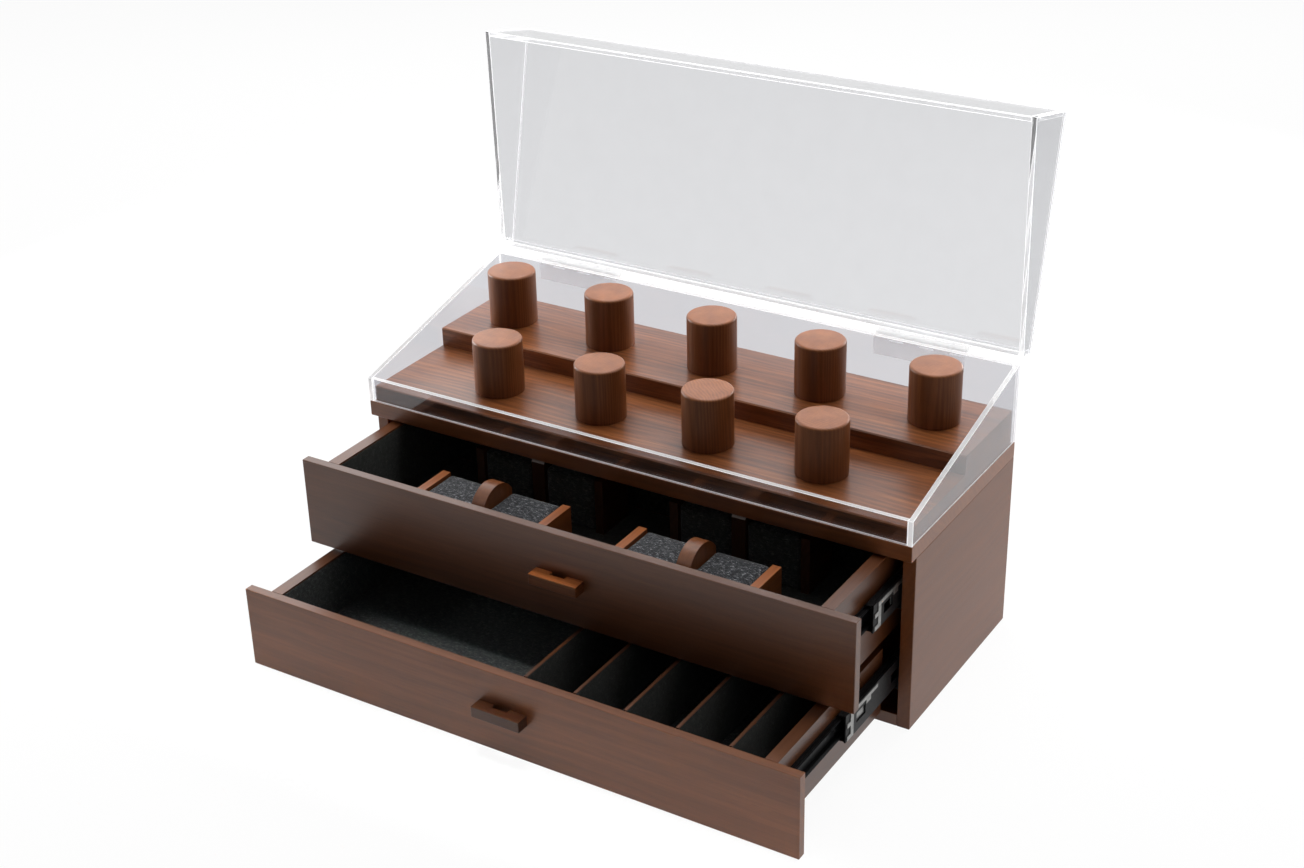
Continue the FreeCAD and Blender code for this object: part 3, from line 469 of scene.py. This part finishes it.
def new_object(name, fill, materials, body, smooth=None):
    """An object whose bmesh the function fill makes.

    Edges up to smooth degrees are shaded smooth, and without it every face is flat.
    """
    mesh = bpy.data.meshes.new(name)
    work = bmesh.new()
    fill(work)
    bmesh.ops.recalc_face_normals(work, faces=work.faces)
    if smooth is not None:
        limit = math.radians(smooth)
        for face in work.faces:
            face.smooth = True
        for edge in work.edges:
            edge.smooth = len(edge.link_faces) == 2 and edge.calc_face_angle(0.0) < limit
    work.to_mesh(mesh)
    work.free()
    piece = bpy.data.objects.new(name, mesh)
    bpy.context.scene.collection.objects.link(piece)
    for material in materials:
        mesh.materials.append(material)
    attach(piece, body)
    return piece


def lathe(work, centre, profile, segments):
    """Turn a profile of (radius, height) pairs round the vertical through centre."""
    rings = []
    for radius, height in profile:
        if radius == 0:
            rings.append([work.verts.new(centre + Vector((0, 0, height)))])
            continue
        ring = []
        for step in range(segments):
            angle = 2 * math.pi * step / segments
            spoke = Vector((radius * math.cos(angle), radius * math.sin(angle), height))
            ring.append(work.verts.new(centre + spoke))
        rings.append(ring)
    for lower, upper in zip(rings, rings[1:]):
        for step in range(segments):
            after = (step + 1) % segments
            if len(lower) == 1:
                work.faces.new((lower[0], upper[step], upper[after]))
            elif len(upper) == 1:
                work.faces.new((lower[step], lower[after], upper[0]))
            else:
                work.faces.new((lower[step], lower[after], upper[after], upper[step]))


def box_solid(work, low, high):
    middle = [(a + b) / 2 for a, b in zip(low, high)]
    size = [abs(b - a) for a, b in zip(low, high)]
    place = Matrix.Translation(middle) @ Matrix.Diagonal((*size, 1.0))
    bmesh.ops.create_cube(work, size=1.0, matrix=place)


def solids_of(name):
    """Lowest and highest corner of each separate solid in a node."""
    work = bmesh.new()
    work.from_mesh(nodes[name].data)
    bmesh.ops.remove_doubles(work, verts=work.verts, dist=SAME_PLACE)
    found, seen = [], set()
    for vertex in work.verts:
        if vertex in seen:
            continue
        group, queue = [], [vertex]
        seen.add(vertex)
        while queue:
            here = queue.pop()
            group.append(here.co.copy())
            for edge in here.link_edges:
                other = edge.other_vert(here)
                if other not in seen:
                    seen.add(other)
                    queue.append(other)
        low = Vector([min(point[i] for point in group) for i in range(3)])
        high = Vector([max(point[i] for point in group) for i in range(3)])
        found.append((low, high))
    work.free()
    return found


# Pegs

PEG_SHOULDER = 2.6 * MM
PEG_FOOT = 0.4 * MM
SHOULDER_STEPS = 8
PEG_SEGMENTS = 96
DIAGONAL_PEG = 8  # the photograph shows this one's cut marks at a slant


def make_pegs():
    """Every peg as a turned piece with a round shoulder."""
    number = 0
    for row in ("rear_pegs", "front_pegs"):
        for low, high in sorted(solids_of(row), key=lambda pair: pair[0].x):
            number += 1
            centre = Vector(((low.x + high.x) / 2, (low.y + high.y) / 2, low.z))
            radius, height = (high.x - low.x) / 2, high.z - low.z
            profile = [(0, 0), (radius - PEG_FOOT, 0), (radius, PEG_FOOT)]
            for step in range(SHOULDER_STEPS + 1):
                angle = math.radians(90 * step / SHOULDER_STEPS)
                inward = PEG_SHOULDER * (1 - math.cos(angle))
                drop = PEG_SHOULDER * (1 - math.sin(angle))
                profile.append((radius - inward, height - drop))
            profile.append((0, height))
            cut = "DIAGONAL" if number == DIAGONAL_PEG else "Y"
            material = turned_wood(f"peg_wood_{number}", number * 1.7, cut)
            peg = new_object(
                f"{row[:-1]}_{number}",
                lambda work: lathe(work, centre, profile, PEG_SEGMENTS),
                [material],
                "cabinet",
                smooth=30,
            )
            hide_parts(row)


make_pegs()


# Clear sheets

SHEET_GAP = 0.04 * MM
EASED_EDGE = 0.5 * MM
FACE_SLOT, EDGE_SLOT, LINE_SLOT = 0, 1, 2


def inset(work, distance):
    """Move every corner of a flat-sided solid inwards by the same distance from each face."""
    shifts = {}
    for vertex in work.verts:
        normals = []
        for face in vertex.link_faces:
            if all(face.normal.dot(other) < 0.999 for other in normals):
                normals.append(face.normal.copy())
        if len(normals) == 3:
            shifts[vertex] = Matrix(normals).inverted() @ Vector((-distance,) * 3)
    for vertex, shift in shifts.items():
        vertex.co += shift


def make_clear_sheet(name):
    """A sheet with eased edges that carry a painted glow, standing a hair clear of what it touches.
    """

    def build(work):
        work.from_mesh(nodes[name].data)
        bmesh.ops.remove_doubles(work, verts=work.verts, dist=SAME_PLACE)
        bmesh.ops.dissolve_limit(work, angle_limit=0.01, verts=work.verts, edges=work.edges)
        bmesh.ops.recalc_face_normals(work, faces=work.faces)
        inset(work, SHEET_GAP)
        areas = sorted((face.calc_area() for face in work.faces), reverse=True)
        second_largest = areas[1]
        for face in work.faces:
            broad = face.calc_area() >= second_largest * 0.99
            face.material_index = FACE_SLOT if broad else EDGE_SLOT
        bmesh.ops.bevel(
            work,
            geom=list(work.edges),
            offset=EASED_EDGE,
            segments=1,
            affect="EDGES",
            material=LINE_SLOT,
        )

    glass, edge = (LID_CLEAR, LID_EDGE) if body_of[name] == "lid" else (CLEAR, EDGE)
    sheet = new_object(name + "_sheet", build, (glass, edge, EDGE_LINE), body_of[name])
    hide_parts(name)


for name in list(nodes):
    if name.startswith(("cover_", "lid_")):
        make_clear_sheet(name)


# Felt

PAD_MARGIN = 0.9 * MM  # what the block lacks on each side before it swells
PAD_VOXEL = 2.6 * MM
PAD_GLUED = 3 * MM  # height of the strip that is glued to the drawer's floor
PAD_SWELL = 1.6 * MM  # the most that a point may move
PAD_GAP = 0.02 * MM
PAD_UNEVEN = 0.006  # share by which a pad is fuller or thinner than the others in places
PAD_WAVE = 9 * MM
CLOTH_FRAMES = 20
CLOTH_SETTINGS = {
    "quality": 6,
    "mass": 0.1,
    "tension_stiffness": 30,
    "compression_stiffness": 30,
    "bending_stiffness": 2,
    "use_pressure": True,
    "uniform_pressure_force": 4,
    "vertex_group_mass": "glued",
}


def points_of(shape):
    return [vertex.co.copy() for vertex in shape.data.vertices]


def held(value, low, high):
    return max(low, min(high, value))


def inflated(shape, glued_below):
    """Where the shape's points are after its cloth has swollen under pressure."""
    group = shape.vertex_groups.new(name="glued")
    glued = [vertex.index for vertex in shape.data.vertices if vertex.co.z < glued_below]
    group.add(glued, 1.0, "REPLACE")
    cloth = shape.modifiers.new("cloth", "CLOTH")
    for key, setting in CLOTH_SETTINGS.items():
        setattr(cloth.settings, key, setting)
    cloth.settings.effector_weights.gravity = 0
    cloth.point_cache.frame_start = 1
    cloth.point_cache.frame_end = CLOTH_FRAMES
    for step in range(1, CLOTH_FRAMES + 1):
        bpy.context.scene.frame_set(step)
    ends = points_of(shape.evaluated_get(bpy.context.evaluated_depsgraph_get()))
    bpy.context.scene.frame_set(1)
    return ends


def swollen_pad(size):
    """Corners and faces of one felt pad, blown up gently from a slightly small block."""
    mesh = bpy.data.meshes.new("pad_shape")
    work = bmesh.new()
    bmesh.ops.create_cube(work, size=1.0)
    bmesh.ops.scale(work, vec=[extent - 2 * PAD_MARGIN for extent in size], verts=work.verts)
    work.to_mesh(mesh)
    work.free()
    shape = bpy.data.objects.new("pad_shape", mesh)
    bpy.context.scene.collection.objects.link(shape)
    bpy.context.view_layer.objects.active = shape
    shape.select_set(True)
    remesh = shape.modifiers.new("remesh", "REMESH")
    remesh.mode = "VOXEL"
    remesh.voxel_size = PAD_VOXEL
    bpy.ops.object.modifier_apply(modifier=remesh.name)
    starts = points_of(shape)
    glued_below = -size[2] / 2 + PAD_MARGIN + PAD_GLUED
    ends = inflated(shape, glued_below)
    corners = []
    for start, end in zip(starts, ends):
        step = end - start
        if step.length > PAD_SWELL:
            step = step.normalized() * PAD_SWELL
        moved = zip(start + step, size)
        corners.append(Vector([held(part, -extent / 2, extent / 2) for part, extent in moved]))
    faces = [tuple(face.vertices) for face in shape.data.polygons]
    bpy.data.objects.remove(shape)
    bpy.data.meshes.remove(mesh)
    return corners, faces


def make_rest_pads():
    """The felt pads of the eyewear rests, each a little uneven in its own way."""
    boxes = sorted(solids_of("rest_felt_pads"), key=lambda pair: (pair[0].y, pair[0].x))
    front_row_back = boxes[0][1].y
    corners, faces = swollen_pad(boxes[0][1] - boxes[0][0])
    for number, (low, high) in enumerate(boxes, start=1):
        middle = (low + high) / 2

        def build(work):
            made = []
            for corner in corners:
                swell = PAD_UNEVEN * noise.noise((corner + middle * number) / PAD_WAVE)
                made.append(work.verts.new(corner * (1 + swell) + middle))
            for face in faces:
                work.faces.new([made[i] for i in face])

        cloth = GREY_FELT if middle.y < front_row_back else CHARCOAL_FELT
        pad = new_object(f"rest_pad_{number}", build, [cloth], "upper_drawer", smooth=80)
        soften = pad.modifiers.new("soften", "SUBSURF")
        soften.levels = 1
        soften.render_levels = 1
        for vertex in pad.data.vertices:
            sides = zip(vertex.co, low, high)
            vertex.co = Vector([held(part, a + PAD_GAP, b - PAD_GAP) for part, a, b in sides])
        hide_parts("rest_felt_pads")


FELT_GRID = 7 * MM
FELT_UNEVEN = 0.12 * MM
FELT_WAVE = 22 * MM
FELT_EDGE_DROP = 0.45  # share of the thickness by which the free edges are rounded off
FELT_GAP = 0.03 * MM
WALL_FELT = 1.0 * MM
FLOOR_FELT = 1.5 * MM
DIVIDER_FELT = (0.02 * MM, 0.72 * MM)  # distances of its two faces from the divider


def felt_plate(work, low, high, side):
    """A felt sheet between two corners, its far face faintly uneven and its free edges round.

    side is the axis that the sheet faces along, and the direction of its far face.
    """
    facing, direction = side
    first, second = [axis for axis in range(3) if axis != facing]
    back, front = (low[facing], high[facing]) if direction > 0 else (high[facing], low[facing])
    spans = [high[axis] - low[axis] for axis in range(3)]
    rows = max(2, round(spans[first] / FELT_GRID))
    columns = max(2, round(spans[second] / FELT_GRID))
    grids = []
    for level, free in ((back, False), (front, True)):
        grid = []
        for row in range(rows + 1):
            line = []
            for column in range(columns + 1):
                point = [level] * 3
                point[first] = low[first] + spans[first] * row / rows
                point[second] = low[second] + spans[second] * column / columns
                if free:
                    if row in (0, rows) or column in (0, columns):
                        drop = FELT_EDGE_DROP * abs(front - back)
                    else:
                        drop = FELT_UNEVEN * (0.5 + 0.5 * noise.noise(Vector(point) / FELT_WAVE))
                    point[facing] = level - math.copysign(drop, front - back)
                line.append(work.verts.new(point))
            grid.append(line)
        grids.append(grid)
    for grid in grids:
        for near, far in zip(grid, grid[1:]):
            for column in range(columns):
                after = column + 1
                work.faces.new((near[column], far[column], far[after], near[after]))
    rims = []
    for grid in grids:
        rim = [grid[row][0] for row in range(rows)]
        rim += [grid[rows][column] for column in range(columns)]
        rim += [grid[row][columns] for row in range(rows, 0, -1)]
        rim += [grid[0][column] for column in range(columns, 0, -1)]
        rims.append(rim)
    back_rim, front_rim = rims
    for here in range(len(back_rim)):
        there = (here + 1) % len(back_rim)
        work.faces.new((back_rim[here], back_rim[there], front_rim[there], front_rim[here]))


def felt_object(name, low, high, side, body):
    # The lower drawer's lining takes the paler charcoal felt and the upper's the black. It is one
    # felt in both drawers, made paler in the lower one as painted light for the light that falls
    # into it.
    cloth = CHARCOAL_FELT if name.startswith("lower_") else BLACK_FELT
    piece = new_object(
        name, lambda work: felt_plate(work, low, high, side), [cloth], body, smooth=50
    )
    return piece


def make_linings():
    """Felt laid on each drawer's floor and glued round its walls."""
    gap, wall = FELT_GAP, WALL_FELT
    for drawer in ("upper", "lower"):
        low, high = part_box(drawer + "_drawer_lining")
        body = drawer + "_drawer"
        bottom = felt_object(
            drawer + "_floor_felt",
            Vector((low.x + gap, low.y + gap, low.z + gap)),
            Vector((high.x - gap, high.y - gap, low.z + FLOOR_FELT - gap)),
            (2, 1),
            body,
        )
        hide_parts(drawer + "_drawer_lining")
        left, inner_left = low.x + gap, low.x + wall
        right, inner_right = high.x - gap, high.x - wall
        walls = (
            ("left", "left_side", (0, 1), (left, low.y + wall), (inner_left, high.y - wall)),
            ("right", "right_side", (0, -1), (inner_right, low.y + wall), (right, high.y - wall)),
            ("front", "front", (1, 1), (left, low.y + gap), (right, low.y + wall - gap)),
            ("back", "back", (1, -1), (left, high.y - wall + gap), (right, high.y - gap)),
        )
        for name, board, side, near, far in walls:
            near, far = (*near, low.z + FLOOR_FELT), (*far, high.z)
            cloth = felt_object(f"{drawer}_{name}_felt", Vector(near), Vector(far), side, body)
            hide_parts(drawer + "_drawer_lining")


def make_divider_felts():
    """Felt on both faces of every divider in the lower drawer."""
    dividers = sorted(solids_of("lower_drawer_dividers"), key=lambda pair: pair[0].x)
    for number, (low, high) in enumerate(dividers, start=1):
        for name, face, direction in (("left", low.x, -1), ("right", high.x, 1)):
            ends = sorted(face + direction * away for away in DIVIDER_FELT)
            near = Vector((ends[0], low.y + 0.3 * MM, low.z + 0.2 * MM))
            far = Vector((ends[1], high.y - 0.3 * MM, high.z - 1.0 * MM))
            cloth = felt_object(
                f"divider_{number}_{name}_felt", near, far, (0, direction), "lower_drawer"
            )


make_rest_pads()
make_linings()
make_divider_felts()


# Slide details

CAGE_STEEL = 0.6 * MM
BALL_RADIUS = 1.6 * MM
BALLS_IN_ROW = 10
SHORTEST_CAGE = 20 * MM  # a solid of a cage node is a cage above this length and else a ball
SCREW_RADIUS = 3.3 * MM
SCREW_SEAT = 1.22 * MM  # from a member's inner side to where the heads sit
SCREW_PLACES = (0.09, 0.5, 0.9)


def cage_row(work, low, high, balls):
    """One channel-shaped cage with its rows of balls."""
    outward = 1 if low.x > 0 else -1
    web, rim = (high.x, low.x) if outward > 0 else (low.x, high.x)
    near = web - outward * CAGE_STEEL
    box_solid(work, (min(web, near), low.y, low.z), (max(web, near), high.y, high.z))
    for edge, inner in ((low.z, low.z + CAGE_STEEL), (high.z, high.z - CAGE_STEEL)):
        box_solid(
            work,
            (min(near, rim), low.y, min(edge, inner)),
            (max(near, rim), high.y, max(edge, inner)),
        )
    mine = [middle for middle in balls if middle.x * outward > 0]
    first, last = min(middle.y for middle in mine), max(middle.y for middle in mine)
    for level in sorted({round(middle.z, 5) for middle in mine}):
        for step in range(BALLS_IN_ROW):
            along = first + (last - first) * step / (BALLS_IN_ROW - 1)
            bmesh.ops.create_uvsphere(
                work,
                u_segments=20,
                v_segments=12,
                radius=BALL_RADIUS,
                matrix=Matrix.Translation((mine[0].x, along, level)),
            )


def make_cages():
    """Ball cages with a full row of round balls, in place of the simplified ones."""
    for drawer in ("upper", "lower"):
        for kind in ("outer", "inner"):
            node = f"{drawer}_slide_{kind}_ball_cages"
            strips, balls = [], []
            for low, high in solids_of(node):
                if high.y - low.y > SHORTEST_CAGE:
                    strips.append((low, high))
                else:
                    balls.append((low + high) / 2)

            def build(work):
                for low, high in strips:
                    cage_row(work, low, high, balls)

            cages = new_object(
                f"{drawer}_{kind}_cages", build, [PLATED], body_of[node], smooth=40
            )
            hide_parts(node)


def cross_screw(work, centre, direction, radius):
    """Low round head with a cross recess, facing along X."""
    height = 0.42 * radius
    profile = [
        (radius, 0.0),
        (radius * 0.97, height * 0.35),
        (radius * 0.8, height * 0.75),
        (radius * 0.45, height),
        (0.0, height),
    ]
    before = set(work.verts)
    lathe(work, Vector((0, 0, 0)), profile, 24)
    for across, along in ((0.62 * radius, 0.17 * radius), (0.17 * radius, 0.62 * radius)):
        box_solid(work, (-across, -along, height * 0.55), (across, along, height * 1.04))
    turn = Matrix.Translation(centre) @ Matrix.Rotation(math.pi / 2 * direction, 4, "Y")
    added = [vertex for vertex in work.verts if vertex not in before]
    bmesh.ops.transform(work, matrix=turn, verts=added)


def make_slide_screws():
    """Screw heads along the middle of each drawer member."""
    for drawer in ("upper", "lower"):
        for name, outward in (("left", -1), ("right", 1)):
            low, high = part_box(f"{drawer}_{name}_slide_drawer_member")
            face = (low.x if outward > 0 else high.x) + outward * SCREW_SEAT
            level = (low.z + high.z) / 2

            def build(work):
                for share in SCREW_PLACES:
                    centre = Vector((face, low.y + (high.y - low.y) * share, level))
                    cross_screw(work, centre, outward, SCREW_RADIUS)

            screws = new_object(
                f"{drawer}_{name}_slide_screws", build, [BLACK_STEEL], drawer + "_drawer", smooth=35
            )


make_cages()
make_slide_screws()


# Stage

FLOOR_HALF = 9.0
FLOOR_SHOWN_WHITE = 0.94  # the rest of what is seen is the lit floor, with the case's shadow


def make_floor():
    t = new_tree("pale_floor")
    uneven = t.noise(t.place(), 3.0, 3.0)
    inputs = {
        "Base Color": t.ramp(uneven, [(0.3, (0.90, 0.90, 0.90)), (0.7, (0.92, 0.92, 0.92))]),
        "Roughness": 0.8,
        "Specular IOR Level": 0.2,
    }
    matt = t.add("BsdfPrincipled", inputs)
    white = t.add("Emission", {"Color": (1, 1, 1, 1), "Strength": 1.0})
    share = t.math("MULTIPLY", t.seen(), FLOOR_SHOWN_WHITE)
    material = t.finish(t.shader_mix(share, matt, white))
    mesh = bpy.data.meshes.new("floor")
    half = FLOOR_HALF
    corners = [(-half, -half, 0), (half, -half, 0), (half, half, 0), (-half, half, 0)]
    mesh.from_pydata(corners, [], [(0, 1, 2, 3)])
    mesh.materials.append(material)
    floor = bpy.data.objects.new("floor", mesh)
    bpy.context.scene.collection.objects.link(floor)


def make_world():
    """A studio that lights the case from behind, less from above and the left, and is dim in front.

    What is seen of it, straight, through glass or as a reflection, is plain white.
    """
    world = bpy.data.worlds.new("studio")
    bpy.context.scene.world = world
    t = Tree(world)
    direction = t.add("SeparateXYZ", {0: t.add("TexCoord").outputs["Generated"]}).outputs
    lean = t.math("MULTIPLY_ADD", direction["X"], -0.15, direction["Y"])
    lean = t.math("MULTIPLY_ADD", direction["Z"], 0.30, lean)
    light = t.span(lean, -0.05, 0.62, 0.012, 0.8, interpolation_type="SMOOTHSTEP")
    strength = t.add("Mix", {0: t.seen(), 2: light, 3: 1.0}, data_type="FLOAT").outputs[0]
    background = t.add("Background", {"Color": (1, 1, 1, 1), "Strength": strength})
    t.add("OutputWorld", {"Surface": background.outputs[0]})


# Name, place, aim, size, watts and spread in degrees. A lamp that hangs straight over its aim
# has the aim moved by a hair, which settles how the lamp is turned.
LAMPS = (
    ("back_softbox", (-0.95, 1.45, 1.25), (0, 0, 0.2), (2.6, 1.7), 24.0, 180),
    ("overhead", (0.0, 0.36, 1.7), (0, 0.3599, 0), (1.5, 0.8), 5.0, 70),
    ("front_floor", (0.0, -0.38, 2.2), (0, -0.3801, 0), (1.3, 0.05), 0.8, 4),
    ("left_side", (-1.3, 0.0, 0.42), (0, 0, 0.25), (0.5, 0.5), 14.0, 180),
    ("back_right", (0.45, 1.5, 0.6), (0, 0, 0.25), (0.6, 0.6), 16.0, 180),
    ("front_edge", (-0.09, -0.265, 2.1), (-0.09, -0.2651, 0), (0.24, 0.03), 0.02, 3),
)


def make_lamps():
    for name, place, aim, size, watts, spread in LAMPS:
        lamp = bpy.data.lights.new(name, "AREA")
        lamp.spread = math.radians(spread)
        lamp.shape = "RECTANGLE"
        lamp.size, lamp.size_y = size
        lamp.energy = watts
        holder = bpy.data.objects.new(name, lamp)
        bpy.context.scene.collection.objects.link(holder)
        holder.location = place
        look = Vector(aim) - Vector(place)
        holder.rotation_euler = look.to_track_quat("-Z", "Y").to_euler()


make_floor()
make_world()
make_lamps()


# Camera, as solved from the straight edges of the case in the photograph

LENS_LENGTH = 55.743
SENSOR_WIDTH = 36.0
YAW, PITCH, ROLL = (math.radians(angle) for angle in (32.189, -27.049, -1.394))
CAMERA_PLACE = (0.917872, -1.521695, 1.089546)


def make_camera():
    lens = bpy.data.cameras.new("camera")
    lens.sensor_fit = "HORIZONTAL"
    lens.sensor_width = SENSOR_WIDTH
    lens.lens = LENS_LENGTH
    lens.clip_start = 0.01
    lens.clip_end = 100.0
    camera = bpy.data.objects.new("camera", lens)
    bpy.context.scene.collection.objects.link(camera)
    level = math.cos(PITCH)
    forward = Vector((-math.sin(YAW) * level, math.cos(YAW) * level, math.sin(PITCH)))
    right = forward.cross(Vector((0, 0, 1))).normalized()
    up = right.cross(forward)
    across = right * math.cos(ROLL) + up * math.sin(ROLL)
    upward = up * math.cos(ROLL) - right * math.sin(ROLL)
    turn = Matrix((across, upward, -forward)).transposed()
    camera.matrix_world = Matrix.Translation(CAMERA_PLACE) @ turn.to_4x4()
    bpy.context.scene.camera = camera


make_camera()
bpy.context.scene.view_settings.view_transform = "Standard"
